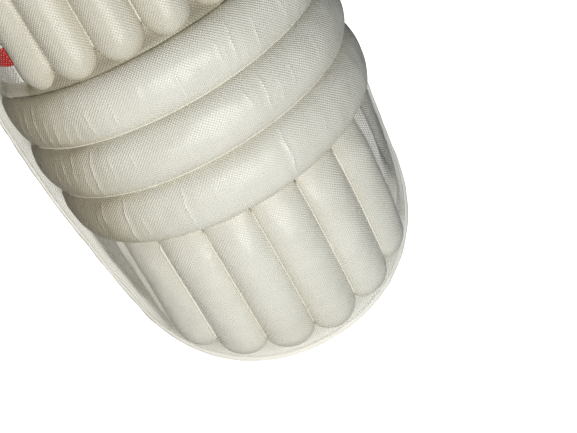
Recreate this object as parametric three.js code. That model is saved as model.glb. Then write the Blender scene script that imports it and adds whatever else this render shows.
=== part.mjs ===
import * as THREE from "three";

// A cricket batting pad: a padded U-shaped shell that wraps the front of the leg, with upright cane-filled
// rolls over the shin, three rolls across the knee, upright rolls again on the round-topped thigh guard
// (the "hat"), a bound edge and three straps behind. It lies on its back as it would on a table: +Y runs
// from the foot to the hat, +Z points out of the front, and the edges of the side wings rest on z = 0.

// Driving sizes, in millimetres. "Along" is measured on the front line from the foot, "across" is the
// girth from that line round towards a wing's edge, and "out" is the distance off the shell's outer face.
const shinLength = 405;
const hatLength = 142;
const kneeHeight = 154;
const kneeRadius = 114;
const wingAngle = THREE.MathUtils.degToRad(77);
const footNarrowing = 0.2;
const hatNarrowing = 0.02;
const shellWall = 10;
const edgeWall = 7;
const edgeWallWidth = 40;
const flareRise = 3.5;
const flareWidth = 20;
const bindingDepth = 6;
const bindingRise = 3;
const seatGap = 0.6;
const bindingGap = 0.5;

// The front line's slope, as the share of the shin, knee or hat that is passed and the degrees there.
const slopeRows = [
  { part: "shin", share: 0, slope: -8 },
  { part: "shin", share: 0.2, slope: 5 },
  { part: "knee", share: 0, slope: 6 },
  { part: "hat", share: 0, slope: 3.5 },
  { part: "hat", share: 1, slope: -16 },
];

// The outline's hat arch and foot edge. Shares of the half width say where the foot's curves lie. The hat
// leans towards the tab's side, and its rolls stay straight.
const hatArchStart = 0.5;
const hatArchPower = 2.55;
const hatLean = 5;
const instepRise = 55;
const instepShare = 0.62;
const footCornerRise = 34;
const footCornerShare = 0.72;

// The knee rolls, from the shin up. Each row has shares of the width along the pad, in the middle of the
// roll, and of the rise off the shell.
const kneeRollWidth = 43;
const kneeRollRise = 20;
const kneeRollRows = [
  { name: "knee_roll_1", width: 0.98, rise: 0.95 },
  { name: "knee_roll_2", width: 0.99, rise: 1 },
  { name: "knee_roll_3", width: 1.03, rise: 0.9 },
];
const kneeRollEndMargin = 30;
const kneeRollEndRound = 48;
const kneeRollSideFall = 0.7;
const kneeRollHatBow = 8;

// The upright rolls. On the hat the row sits half a roll's width towards the tab's side, and the facing
// beside it is bare on the other side.
const shinCaneCount = 7;
const hatCaneCount = 6;
const hatCaneShift = 0.5;
const shinCaneWidth = 33;
const shinCaneTaper = 0.22;
const shinCaneRise = 19;
const hatCaneWidth = 35;
const hatCaneRise = 11;
const shinCaneFootRound = 15;
const shinCaneKneeRound = 12;
const hatCaneKneeRound = 4;
const hatCaneTipRound = 16;
const caneSideFall = 0.3;
const caneFootMargin = 13;
const hatCaneMargin = 7;
const hatCaneLeastWidth = 4;
const seamGap = 0.8;

// A roll's section is half an ellipse with its shoulders drawn in, and its ends are rounded off through
// these angles.
const rollShoulder = 1.3;
const rollEndDegrees = [12, 36, 62, 90];

// The cloth tab on the wing beside the first shin roll.
const tabWidth = 46;
const tabLength = 58;
const tabThickness = 1.2;
const tabKneeMargin = 9;
const tabCaneMargin = 4;

// The straps: share of the shin length where each one's middle lies.
const strapRows = [
  { name: "ankle_strap", share: 0.22 },
  { name: "calf_strap", share: 0.58 },
  { name: "knee_strap", share: 0.94 },
];
const strapWidth = 38;
const strapThickness = 2;
const strapGap = 0.8;
const strapBend = 9;
const strapBendAcross = 0.35;
const strapBendUp = 0.3;
const strapReach = 58;
const strapFoot = 14;

// Mesh steps: counts of columns, rows, corners and turns, and lengths between rings.
const shellColumns = 24;
const shellRows = 32;
const lineStep = 2;
const kneeRollCorners = 8;
const kneeRollStep = 12;
const caneCorners = 6;
const shinCaneStep = 26;
const hatCaneStep = 20;
const tabSteps = 5;
const strapSteps = 4;
const strapTurns = 9;

const kneeStart = shinLength;
const kneeLength = kneeRollRows.reduce((sum, row) => sum + row.width * kneeRollWidth, 0);
const hatStart = kneeStart + kneeLength;
const tip = hatStart + hatLength;
const kneeMiddle = kneeStart + kneeLength / 2;
const archStart = kneeStart + hatArchStart * kneeLength;
const archHeight = tip - archStart;
const edgeHeight = bindingDepth + bindingGap;

const partStart = { shin: 0, knee: kneeStart, hat: hatStart };
const partLength = { shin: shinLength, knee: kneeLength, hat: hatLength };
const slopes = slopeRows.map((row) => ({
  along: partStart[row.part] + row.share * partLength[row.part],
  slope: THREE.MathUtils.degToRad(row.slope),
}));

function slopeAt(along) {
  const next = slopes.findIndex((row) => row.along >= along);
  if (next === 0) return slopes[0].slope;
  if (next < 0) return slopes[slopes.length - 1].slope;
  const [a, b] = [slopes[next - 1], slopes[next]];
  return THREE.MathUtils.mapLinear(along, a.along, b.along, a.slope, b.slope);
}

// The front line as closely spaced points, with the middle of the knee at y = 0 and at kneeHeight.
const linePoints = [];
for (let along = -lineStep, y = 0, z = 0; along <= tip + 2 * lineStep; along += lineStep) {
  linePoints.push({ along, y, z });
  const slope = slopeAt(along + lineStep / 2);
  y += lineStep * Math.cos(slope);
  z += lineStep * Math.sin(slope);
}

function rawLine(along) {
  const place = (along - linePoints[0].along) / lineStep;
  const index = THREE.MathUtils.clamp(Math.floor(place), 0, linePoints.length - 2);
  const before = linePoints[index];
  const after = linePoints[index + 1];
  const part = place - index;
  return {
    y: THREE.MathUtils.lerp(before.y, after.y, part),
    z: THREE.MathUtils.lerp(before.z, after.z, part),
  };
}

const kneePoint = rawLine(kneeMiddle);

function frontLine(along) {
  const point = rawLine(along);
  return { y: point.y - kneePoint.y, z: point.z - kneePoint.z + kneeHeight, slope: slopeAt(along) };
}

// A section is an arc over the front with a straight wing tangent to it on each side.
function radiusAt(along) {
  const narrowing = along < kneeMiddle ? footNarrowing : hatNarrowing;
  const reach = along < kneeMiddle ? kneeMiddle : tip - kneeMiddle;
  return kneeRadius * (1 - narrowing * ((along - kneeMiddle) / reach) ** 2);
}

function halfGirthAt(along) {
  const place = Math.min(along, archStart);
  const radius = radiusAt(place);
  const line = frontLine(place);
  const depth = (line.z - edgeHeight) / Math.cos(line.slope);
  return radius * wingAngle + (depth - radius * (1 - Math.cos(wingAngle))) / Math.sin(wingAngle);
}

function leanAt(along) {
  return hatLean * THREE.MathUtils.smoothstep(along, hatStart, tip);
}

function surfacePoint(across, along, out) {
  const radius = radiusAt(along);
  const line = frontLine(along);
  const angle = Math.min(Math.abs(across) / radius, wingAngle);
  const straight = Math.max(Math.abs(across) - radius * wingAngle, 0);
  const side = Math.sign(across) * ((radius + out) * Math.sin(angle) + straight * Math.cos(angle));
  const up = (radius + out) * Math.cos(angle) - radius - straight * Math.sin(angle);
  return new THREE.Vector3(
    side + leanAt(along),
    line.y - up * Math.sin(line.slope),
    line.z + up * Math.cos(line.slope),
  );
}

// The outline in across and along, as the border of a square grid whose upper corners lie on the arch.
const archGirth = halfGirthAt(archStart);
const power = (base, exponent) => Math.sign(base) * Math.abs(base) ** exponent;

function archSide(along) {
  const share = THREE.MathUtils.clamp((along - archStart) / archHeight, 0, 1);
  return archGirth * (1 - share ** hatArchPower) ** (1 / hatArchPower);
}

function sideAt(along) {
  return along < archStart ? halfGirthAt(along) : archSide(along);
}

function hatEdge(column) {
  const angle = (column * Math.PI) / 4;
  return {
    across: archGirth * power(Math.sin(angle), 2 / hatArchPower),
    along: archStart + archHeight * Math.cos(angle) ** (2 / hatArchPower),
  };
}

function footEdge(column) {
  const arch = Math.cos((Math.PI / 2) * Math.min(1, Math.abs(column) / instepShare)) ** 2;
  const corner = Math.max(0, (Math.abs(column) - footCornerShare) / (1 - footCornerShare)) ** 2;
  return instepRise * arch + footCornerRise * corner;
}

function gridPlace(column, row) {
  const foot = footEdge(column);
  const hat = hatEdge(column);
  const footCorner = footEdge(1);
  const hatCorner = hatEdge(1);
  const sideAlong = THREE.MathUtils.lerp(footCorner, hatCorner.along, row);
  const footSide = sideAt(footCorner);
  const slack = sideAt(sideAlong) - THREE.MathUtils.lerp(footSide, hatCorner.across, row);
  return {
    across: THREE.MathUtils.lerp(column * footSide, hat.across, row) + column * slack,
    along: THREE.MathUtils.lerp(foot, hat.along, row),
  };
}

const columns = Array.from({ length: shellColumns + 1 }, (_, i) => -1 + (2 * i) / shellColumns);
const rows = Array.from({ length: shellRows + 1 }, (_, i) => i / shellRows);
const border = [
  ...columns.map((column) => [column, 0]),
  ...rows.slice(1).map((row) => [1, row]),
  ...columns.slice(0, -1).reverse().map((column) => [column, 1]),
  ...rows.slice(1, -1).reverse().map((row) => [-1, row]),
];
const outline = border.map(([column, row]) => gridPlace(column, row));

function edgeDistance(place) {
  const point = new THREE.Vector3(place.across, place.along, 0);
  const closest = new THREE.Vector3();
  const distances = outline.map((start, i) => {
    const end = outline[(i + 1) % outline.length];
    const edge = new THREE.Line3(
      new THREE.Vector3(start.across, start.along, 0),
      new THREE.Vector3(end.across, end.along, 0),
    );
    edge.closestPointToPoint(point, true, closest);
    return closest.distanceTo(point);
  });
  return Math.min(...distances);
}

// The wings turn outwards along their edges, and the wall thins towards the edge.
function flareAt(place) {
  const nearness = 1 - Math.min(1, edgeDistance(place) / flareWidth);
  const caneEdge = (hatCaneCount / 2 + Math.sign(place.across) * hatCaneShift) * hatCaneWidth;
  const onWing = THREE.MathUtils.smoothstep(Math.abs(place.across), caneEdge, kneeRadius * wingAngle);
  return flareRise * onWing * nearness ** 2;
}

function wallAt(place) {
  return THREE.MathUtils.lerp(edgeWall, shellWall, Math.min(1, edgeDistance(place) / edgeWallWidth));
}

function shellFace(column, row, inner) {
  const place = gridPlace(column, row);
  const out = flareAt(place) - (inner ? wallAt(place) : 0);
  return surfacePoint(place.across, place.along, out);
}

// Closed meshes from points and faces. Rings hold their points in order round a closed section.
function meshGeometry(points, faces) {
  const geometry = new THREE.BufferGeometry();
  geometry.setAttribute("position", new THREE.Float32BufferAttribute(points.flatMap((p) => p.toArray()), 3));
  const volume = faces.reduce((sum, [a, b, c]) => {
    const normal = new THREE.Vector3().crossVectors(points[b], points[c]);
    return sum + points[a].dot(normal);
  }, 0);
  geometry.setIndex(faces.flatMap(([a, b, c]) => (volume > 0 ? [a, b, c] : [a, c, b])));
  geometry.computeVertexNormals();
  return geometry;
}

function loft(rings, closed = false) {
  const size = rings[0].length;
  const points = rings.flat();
  const faces = [];
  const last = closed ? rings.length : rings.length - 1;
  for (let i = 0; i < last; i++) {
    const next = (i + 1) % rings.length;
    for (let j = 0; j < size; j++) {
      const [a, b] = [i * size + j, i * size + ((j + 1) % size)];
      const [c, d] = [next * size + j, next * size + ((j + 1) % size)];
      faces.push([a, b, d], [a, d, c]);
    }
  }
  if (!closed) {
    for (const [start, turned] of [[0, true], [(rings.length - 1) * size, false]]) {
      for (let j = 1; j < size - 1; j++) {
        const cap = [start, start + j, start + j + 1];
        faces.push(turned ? [cap[0], cap[2], cap[1]] : cap);
      }
    }
  }
  return meshGeometry(points, faces);
}

function shellGeometry() {
  const points = [];
  const faces = [];
  const width = shellColumns + 1;
  const layer = width * (shellRows + 1);
  for (const inner of [false, true]) {
    for (const row of rows) for (const column of columns) points.push(shellFace(column, row, inner));
  }
  for (let row = 0; row < shellRows; row++) {
    for (let column = 0; column < shellColumns; column++) {
      const a = row * width + column;
      const corners = [a, a + 1, a + width + 1, a + width];
      faces.push([corners[0], corners[1], corners[2]], [corners[0], corners[2], corners[3]]);
      const inside = corners.map((corner) => corner + layer);
      faces.push([inside[0], inside[2], inside[1]], [inside[0], inside[3], inside[2]]);
    }
  }
  const index = ([column, row]) =>
    Math.round(row * shellRows) * width + Math.round(((column + 1) / 2) * shellColumns);
  border.forEach((place, i) => {
    const a = index(place);
    const b = index(border[(i + 1) % border.length]);
    faces.push([b, a, a + layer], [b, a + layer, b + layer]);
  });
  return meshGeometry(points, faces);
}

// The binding is a rounded bead along the shell's edge. It stands a little proud of the outer face.
const beadSection = [
  { depth: 0, height: 0 },
  { depth: 0.35, height: 0.02 },
  { depth: 0.8, height: 0.2 },
  { depth: 1, height: 0.5 },
  { depth: 0.8, height: 0.8 },
  { depth: 0.35, height: 0.98 },
  { depth: 0, height: 0.92 },
];

function bindingGeometry() {
  const rings = border.map(([column, row], i) => {
    const outer = shellFace(column, row, false);
    const inner = shellFace(column, row, true);
    const before = border[(i + border.length - 1) % border.length];
    const after = border[(i + 1) % border.length];
    const path = shellFace(...after, false).sub(shellFace(...before, false)).normalize();
    const thick = outer.clone().sub(inner);
    const away = new THREE.Vector3().crossVectors(path, thick).normalize();
    const height = thick.length() + bindingRise;
    const upwards = thick.normalize();
    return beadSection.map((corner) =>
      inner
        .clone()
        .addScaledVector(away, bindingGap + corner.depth * bindingDepth)
        .addScaledVector(upwards, corner.height * height),
    );
  });
  return loft(rings, true);
}

// A stuffed roll: rings whose top is rounded and whose underside follows the shell.
const roundedEnds = rollEndDegrees.map((degrees) => THREE.MathUtils.degToRad(degrees));

function rollStations(start, end, startRound, endRound, step) {
  const middle = Math.max(2, Math.round((end - start - startRound - endRound) / step));
  const places = roundedEnds.map((angle) => ({
    at: start + startRound * (1 - Math.cos(angle)),
    fullness: Math.sin(angle),
  }));
  for (let i = 1; i < middle; i++) {
    places.push({ at: THREE.MathUtils.lerp(start + startRound, end - endRound, i / middle), fullness: 1 });
  }
  for (const angle of [...roundedEnds].reverse()) {
    places.push({ at: end - endRound * (1 - Math.cos(angle)), fullness: Math.sin(angle) });
  }
  return places;
}

function rollRing(low, high, fullness, rise, corners, point) {
  const middle = (low + high) / 2;
  const half = ((high - low) / 2) * fullness;
  const ring = [];
  for (let i = 0; i <= corners; i++) {
    const angle = (Math.PI * i) / corners;
    const height = rise * fullness * power(Math.sin(angle), rollShoulder);
    ring.push(point(middle - half * Math.cos(angle), seatGap + height));
  }
  ring.push(point(middle, seatGap));
  return ring;
}

function hatBow(across) {
  return kneeRollHatBow * (across / archGirth) ** 2;
}

function kneeRollGeometry(index) {
  const row = kneeRollRows[index];
  const below = kneeRollRows.slice(0, index);
  const start = kneeStart + below.reduce((sum, roll) => sum + roll.width * kneeRollWidth, 0);
  const end = start + row.width * kneeRollWidth;
  const highBow = index === kneeRollRows.length - 1 ? (across) => -hatBow(across) : () => 0;
  const reach = sideAt((start + end) / 2) - kneeRollEndMargin;
  const stations = rollStations(-reach, reach, kneeRollEndRound, kneeRollEndRound, kneeRollStep);
  const rings = stations.map(({ at, fullness }) =>
    rollRing(
      start + seamGap / 2,
      end + highBow(at) - seamGap / 2,
      fullness,
      row.rise * kneeRollRise * (1 - kneeRollSideFall * (at / reach) ** 2),
      kneeRollCorners,
      (along, out) => surfacePoint(at, along, out),
    ),
  );
  return loft(rings);
}

function caneFall(place) {
  return 1 - caneSideFall * ((2 * place) / (shinCaneCount - 1)) ** 2;
}

function shinCaneGeometry(index) {
  const place = index - (shinCaneCount - 1) / 2;
  const widthAt = (along) => shinCaneWidth * (1 - shinCaneTaper * (1 - along / shinLength));
  const footShare = Math.abs(place * shinCaneWidth) / halfGirthAt(0);
  const start = footEdge(footShare) + caneFootMargin;
  const end = kneeStart - seamGap / 2;
  const stations = rollStations(start, end, shinCaneFootRound, shinCaneKneeRound, shinCaneStep);
  const rings = stations.map(({ at, fullness }) => {
    const width = widthAt(at);
    return rollRing(
      (place - 0.5) * width + seamGap / 2,
      (place + 0.5) * width - seamGap / 2,
      fullness,
      shinCaneRise * caneFall(place),
      caneCorners,
      (across, out) => surfacePoint(across, at, out),
    );
  });
  return loft(rings);
}

// A hat roll's outer side follows the arch once the arch cuts into it.
function hatCaneGeometry(index) {
  const place = index - (hatCaneCount - 1) / 2 + hatCaneShift;
  const side = Math.sign(place) || 1;
  const inner = (Math.abs(place) - 0.5) * hatCaneWidth + seamGap / 2;
  const outer = (Math.abs(place) + 0.5) * hatCaneWidth - seamGap / 2;
  const middle = Math.abs(place) * hatCaneWidth;
  const start = hatStart - hatBow(middle) + seamGap;
  const archShare = (middle + hatCaneMargin - side * hatLean) / archGirth;
  const end = archStart + archHeight * (1 - archShare ** hatArchPower) ** (1 / hatArchPower) - hatCaneMargin;
  const stations = rollStations(start, end, hatCaneKneeRound, hatCaneTipRound, hatCaneStep);
  const rings = stations.map(({ at, fullness }) => {
    const room = Math.max(archSide(at) + side * leanAt(at) - hatCaneMargin, inner + hatCaneLeastWidth);
    const cut = place === 0 ? outer : Math.min(outer, room);
    return rollRing(
      side > 0 ? inner : -cut,
      side > 0 ? cut : -inner,
      fullness,
      hatCaneRise * caneFall(place),
      caneCorners,
      (across, out) => surfacePoint(across - leanAt(at), at, out),
    );
  });
  return loft(rings);
}

function tabGeometry() {
  const caneEdge = (shinCaneCount / 2) * shinCaneWidth;
  const end = kneeStart - tabKneeMargin;
  const rings = Array.from({ length: tabSteps + 1 }, (_, i) => {
    const across = caneEdge + tabCaneMargin + (tabWidth * i) / tabSteps;
    return [
      surfacePoint(across, end - tabLength, seatGap),
      surfacePoint(across, end - tabLength / 2, seatGap),
      surfacePoint(across, end, seatGap),
      surfacePoint(across, end, seatGap + tabThickness),
      surfacePoint(across, end - tabLength / 2, seatGap + tabThickness),
      surfacePoint(across, end - tabLength, seatGap + tabThickness),
    ];
  });
  return loft(rings);
}

const shell = shellGeometry();
const binding = bindingGeometry();
binding.computeBoundingBox();
const floorLevel = binding.boundingBox.min.z;

// A strap crosses the open back on the floor and turns up inside both wings. Where it lies against a
// wing is found on the shell's inner face, straight out from the middle of the channel.
const shellProbe = new THREE.Mesh(shell, new THREE.MeshStandardMaterial());
const outwards = new THREE.Vector3(1, 0, 0);

function wingInside(y, z) {
  const ray = new THREE.Raycaster(new THREE.Vector3(0, y, z), outwards);
  return ray.intersectObject(shellProbe)[0].point.x - strapGap;
}

function strapOutline(y) {
  const against = Array.from({ length: strapTurns + 1 }, (_, i) => {
    const height = floorLevel + THREE.MathUtils.lerp(strapReach, strapFoot, i / strapTurns);
    return new THREE.Vector2(wingInside(y, height), height);
  });
  const foot = against[against.length - 1];
  const bendHeight = floorLevel + strapBend * strapBendUp;
  const bend = new THREE.Vector2(foot.x - strapBend * strapBendAcross, bendHeight);
  const flat = new THREE.Vector2(foot.x - strapBend, floorLevel);
  const outer = [...against, bend, flat];
  const inner = outer.map((point, i) => {
    const before = outer[Math.max(i - 1, 0)];
    const after = i + 1 < outer.length ? outer[i + 1] : new THREE.Vector2(0, floorLevel);
    const way = after.clone().sub(before).normalize();
    return new THREE.Vector2(point.x + way.y * strapThickness, point.y - way.x * strapThickness);
  });
  inner[inner.length - 1].y = floorLevel + strapThickness;
  const mirrored = (list) => list.map((point) => new THREE.Vector2(-point.x, point.y)).reverse();
  return { outer: [...outer, ...mirrored(outer)], inner: [...inner, ...mirrored(inner)] };
}

function strapGeometry(share) {
  const centre = frontLine(share * shinLength).y;
  const sections = Array.from({ length: strapSteps + 1 }, (_, i) => {
    const y = centre + strapWidth * (i / strapSteps - 0.5);
    const { outer, inner } = strapOutline(y);
    return [outer, inner].map((list) => list.map((point) => new THREE.Vector3(point.x, y, point.y)));
  });
  const rings = sections[0][0].map((_, place) => [
    ...sections.map((section) => section[0][place]),
    ...sections.map((section) => section[1][place]).reverse(),
  ]);
  return loft(rings);
}

const facing = new THREE.MeshStandardMaterial({ color: 0xd9d6c8, roughness: 0.5, metalness: 0 });
const trim = new THREE.MeshStandardMaterial({ color: 0xe4e2d8, roughness: 0.6, metalness: 0 });
const webbing = new THREE.MeshStandardMaterial({ color: 0xe6e5e0, roughness: 0.85, metalness: 0 });
const tabCloth = new THREE.MeshStandardMaterial({ color: 0xdcd8d2, roughness: 0.45, metalness: 0 });

const pad = new THREE.Group();

function addPiece(name, geometry, material) {
  const mesh = new THREE.Mesh(geometry, material);
  mesh.name = name;
  pad.add(mesh);
}

addPiece("shell", shell, facing);
addPiece("edge_binding", binding, trim);
kneeRollRows.forEach((row, index) => addPiece(row.name, kneeRollGeometry(index), facing));
for (let i = 0; i < shinCaneCount; i++) addPiece(`shin_roll_${i + 1}`, shinCaneGeometry(i), facing);
for (let i = 0; i < hatCaneCount; i++) addPiece(`hat_roll_${i + 1}`, hatCaneGeometry(i), facing);
addPiece("side_tab", tabGeometry(), tabCloth);
for (const row of strapRows) addPiece(row.name, strapGeometry(row.share), webbing);

// The origin is the middle of the pad's footprint, on the surface that it lies on.
const bounds = new THREE.Box3().setFromObject(pad);
const middle = bounds.getCenter(new THREE.Vector3());
pad.position.set(-middle.x, -middle.y, -bounds.min.z);

export default pad;
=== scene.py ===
import math

import bmesh
import bpy
import numpy as np
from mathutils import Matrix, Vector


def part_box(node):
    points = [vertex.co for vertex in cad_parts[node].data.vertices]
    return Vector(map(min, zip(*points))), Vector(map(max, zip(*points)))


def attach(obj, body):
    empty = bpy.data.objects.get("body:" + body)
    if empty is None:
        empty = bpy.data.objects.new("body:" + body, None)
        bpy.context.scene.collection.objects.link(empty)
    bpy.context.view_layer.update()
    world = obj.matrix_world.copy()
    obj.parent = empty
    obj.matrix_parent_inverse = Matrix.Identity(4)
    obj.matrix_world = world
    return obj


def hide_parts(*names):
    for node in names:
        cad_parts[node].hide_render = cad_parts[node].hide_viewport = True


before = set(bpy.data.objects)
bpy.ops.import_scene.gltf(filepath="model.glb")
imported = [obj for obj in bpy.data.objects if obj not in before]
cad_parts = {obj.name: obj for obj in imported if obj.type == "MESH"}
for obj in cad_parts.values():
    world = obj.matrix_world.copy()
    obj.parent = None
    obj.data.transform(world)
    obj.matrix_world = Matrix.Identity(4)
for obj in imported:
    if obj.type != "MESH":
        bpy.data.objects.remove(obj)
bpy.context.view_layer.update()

# Driving sizes in millimetres, as the solids have them. "Along" runs on the front line from the foot,
# "across" is the girth from that line, and "out" is the distance off the shell's outer face.
SHIN_LENGTH = 405.0
HAT_LENGTH = 142.0
KNEE_HEIGHT = 154.0
KNEE_RADIUS = 114.0
WING_ANGLE = math.radians(77)
FOOT_NARROWING = 0.2
HAT_NARROWING = 0.02
SHELL_WALL = 10.0
EDGE_WALL = 7.0
EDGE_WALL_WIDTH = 40.0
BINDING_DEPTH = 6.0
BINDING_RISE = 3.0
SEAT_GAP = 0.6
BINDING_GAP = 0.5
SLOPE_DEGREES = [-8, 5, 6, 3.5, -16]
HAT_ARCH_START = 0.5
HAT_ARCH_POWER = 2.55
HAT_LEAN = 5.0
INSTEP_RISE = 55.0
INSTEP_SHARE = 0.62
FOOT_CORNER_RISE = 34.0
FOOT_CORNER_SHARE = 0.72
KNEE_ROLL_WIDTH = 43.0
KNEE_ROLL_RISE = 20.0
KNEE_ROLL_SHARES = [(0.98, 0.95), (0.99, 1.0), (1.03, 0.9)]
KNEE_ROLL_END_MARGIN = 30.0
KNEE_ROLL_END_ROUND = 48.0
KNEE_ROLL_SIDE_FALL = 0.7
KNEE_ROLL_HAT_BOW = 8.0
SHIN_CANE_COUNT = 7
HAT_CANE_COUNT = 6
HAT_CANE_SHIFT = 0.5
SHIN_CANE_WIDTH = 33.0
SHIN_CANE_TAPER = 0.22
SHIN_CANE_RISE = 19.0
HAT_CANE_WIDTH = 35.0
SHIN_CANE_FOOT_ROUND = 15.0
HAT_CANE_TIP_ROUND = 16.0
CANE_SIDE_FALL = 0.3
CANE_FOOT_MARGIN = 13.0
HAT_CANE_MARGIN = 7.0
HAT_CANE_LEAST_WIDTH = 4.0
SEAM_GAP = 0.8
TAB_WIDTH = 46.0
TAB_LENGTH = 58.0
TAB_THICKNESS = 1.2
TAB_KNEE_MARGIN = 9.0
TAB_CANE_MARGIN = 4.0
STRAP_SHARES = {"ankle_strap": 0.22, "calf_strap": 0.58, "knee_strap": 0.94}
STRAP_WIDTH = 38.0
STRAP_THICKNESS = 2.0
STRAP_BEND = 9.0
STRAP_REACH = 58.0
STRAP_FOOT = 14.0
LINE_STEP = 2.0

KNEE_START = SHIN_LENGTH
KNEE_LENGTH = sum(width for width, rise in KNEE_ROLL_SHARES) * KNEE_ROLL_WIDTH
HAT_START = KNEE_START + KNEE_LENGTH
TIP = HAT_START + HAT_LENGTH
KNEE_MIDDLE = KNEE_START + KNEE_LENGTH / 2
ARCH_START = KNEE_START + HAT_ARCH_START * KNEE_LENGTH
ARCH_HEIGHT = TIP - ARCH_START
EDGE_HEIGHT = BINDING_DEPTH + BINDING_GAP
SLOPE_PLACES = [0, 0.2 * SHIN_LENGTH, KNEE_START, HAT_START, TIP]
SLOPES = np.radians(SLOPE_DEGREES)

# The front line, with the middle of the knee at y = 0.
LINE_ALONG = np.arange(-LINE_STEP, TIP + 3 * LINE_STEP, LINE_STEP)
STEP_SLOPES = np.interp(LINE_ALONG[:-1] + LINE_STEP / 2, SLOPE_PLACES, SLOPES)
LINE_Y = np.concatenate([[0], np.cumsum(LINE_STEP * np.cos(STEP_SLOPES))])
LINE_Z = np.concatenate([[0], np.cumsum(LINE_STEP * np.sin(STEP_SLOPES))])
LINE_Y = LINE_Y - np.interp(KNEE_MIDDLE, LINE_ALONG, LINE_Y)
LINE_Z = LINE_Z - np.interp(KNEE_MIDDLE, LINE_ALONG, LINE_Z) + KNEE_HEIGHT


def smoothstep(value, low, high):
    share = np.clip((value - low) / (high - low), 0, 1)
    return share * share * (3 - 2 * share)


def hump(value, middle, width):
    return np.exp(-(((value - middle) / width) ** 2))


def lengths_along(points):
    """Distance of each point of a path from its first one."""
    return np.concatenate([[0], np.cumsum(np.linalg.norm(np.diff(points, axis=0), axis=1))])


def radius_at(along):
    narrowing = np.where(along < KNEE_MIDDLE, FOOT_NARROWING, HAT_NARROWING)
    reach = np.where(along < KNEE_MIDDLE, KNEE_MIDDLE, TIP - KNEE_MIDDLE)
    return KNEE_RADIUS * (1 - narrowing * ((along - KNEE_MIDDLE) / reach) ** 2)


def lean_at(along):
    return HAT_LEAN * smoothstep(along, HAT_START, TIP)


def surface(across, along, out):
    """Points on or off the shell's outer face, in millimetres, before the move to the frame's origin."""
    across, along, out = np.broadcast_arrays(
        np.asarray(across, float), np.asarray(along, float), np.asarray(out, float)
    )
    radius = radius_at(along)
    slope = np.interp(along, SLOPE_PLACES, SLOPES)
    angle = np.minimum(np.abs(across) / radius, WING_ANGLE)
    straight = np.maximum(np.abs(across) - radius * WING_ANGLE, 0)
    side = np.sign(across) * ((radius + out) * np.sin(angle) + straight * np.cos(angle))
    up = (radius + out) * np.cos(angle) - radius - straight * np.sin(angle)
    y = np.interp(along, LINE_ALONG, LINE_Y) - up * np.sin(slope)
    z = np.interp(along, LINE_ALONG, LINE_Z) + up * np.cos(slope)
    return np.stack([side + lean_at(along), y, z], -1)


def half_girth(along):
    place = np.minimum(along, ARCH_START)
    radius = radius_at(place)
    slope = np.interp(place, SLOPE_PLACES, SLOPES)
    depth = (np.interp(place, LINE_ALONG, LINE_Z) - EDGE_HEIGHT) / np.cos(slope)
    over = radius * (1 - math.cos(WING_ANGLE))
    return radius * WING_ANGLE + (depth - over) / math.sin(WING_ANGLE)


ARCH_GIRTH = float(half_girth(ARCH_START))


def arch_fullness(share):
    """The superellipse that rounds off the hat, from 1 at share 0 to 0 at share 1."""
    return (1 - share**HAT_ARCH_POWER) ** (1 / HAT_ARCH_POWER)


def arch_side(along):
    return ARCH_GIRTH * arch_fullness(np.clip((along - ARCH_START) / ARCH_HEIGHT, 0, 1))


def side_at(along):
    return np.where(along < ARCH_START, half_girth(along), arch_side(along))


def foot_edge(column):
    reach = np.abs(column)
    arch = np.cos(np.pi / 2 * np.minimum(1, reach / INSTEP_SHARE)) ** 2
    corner = np.maximum(0, (reach - FOOT_CORNER_SHARE) / (1 - FOOT_CORNER_SHARE)) ** 2
    return INSTEP_RISE * arch + FOOT_CORNER_RISE * corner


def hat_edge(column):
    angle = column * np.pi / 4
    across = ARCH_GIRTH * np.sign(angle) * np.abs(np.sin(angle)) ** (2 / HAT_ARCH_POWER)
    return across, ARCH_START + ARCH_HEIGHT * np.cos(angle) ** (2 / HAT_ARCH_POWER)


def grid_place(column, row):
    """Across and along of a place on the shell's grid, whose border is the outline."""
    foot = foot_edge(column)
    hat_across, hat_along = hat_edge(column)
    corner_foot = float(foot_edge(1.0))
    corner_across, corner_along = (float(value) for value in hat_edge(np.float64(1)))
    side_along = corner_foot + (corner_along - corner_foot) * row
    foot_side = float(side_at(corner_foot))
    slack = side_at(side_along) - (foot_side + (corner_across - foot_side) * row)
    across = column * foot_side * (1 - row) + hat_across * row + column * slack
    return across, foot * (1 - row) + hat_along * row


# The move from these places to the frame: the middle strap's box gives y, and the solids rest on z = 0.
strap_low, strap_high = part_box("calf_strap")
strap_middle = STRAP_SHARES["calf_strap"] * SHIN_LENGTH
SHIFT = np.array(
    [0.0, 500 * (strap_low[1] + strap_high[1]) - np.interp(strap_middle, LINE_ALONG, LINE_Y), -0.5]
)


def grid_faces(rows, columns, closed=False, start=0):
    index = np.arange(rows * columns).reshape(rows, columns) + start
    if closed:
        index = np.concatenate([index, index[:, :1]], axis=1)
    corners = [index[:-1, :-1], index[:-1, 1:], index[1:, 1:], index[1:, :-1]]
    return np.stack(corners, -1).reshape(-1, 4).tolist()


def tube_faces(count, size, start=0):
    """Faces of a tube of rings, with one flat face at each end."""
    first = list(range(start, start + size))
    last = [index + (count - 1) * size for index in first]
    return grid_faces(count, size, closed=True, start=start) + [first[::-1], last]


def wall_faces(rows, columns):
    """Faces of a closed wall: a grid, the same grid behind it, and the strip between their borders."""
    layer = rows * columns
    faces = grid_faces(rows, columns)
    faces += [face[::-1] for face in grid_faces(rows, columns, start=layer)]
    order = np.arange(layer).reshape(rows, columns)
    border = np.concatenate([order[0], order[1:, -1], order[-1, ::-1][1:], order[::-1, 0][1:-1]])
    for a, b in zip(border.tolist(), np.roll(border, -1).tolist()):
        faces.append([b, a, a + layer, b + layer])
    return faces


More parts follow.
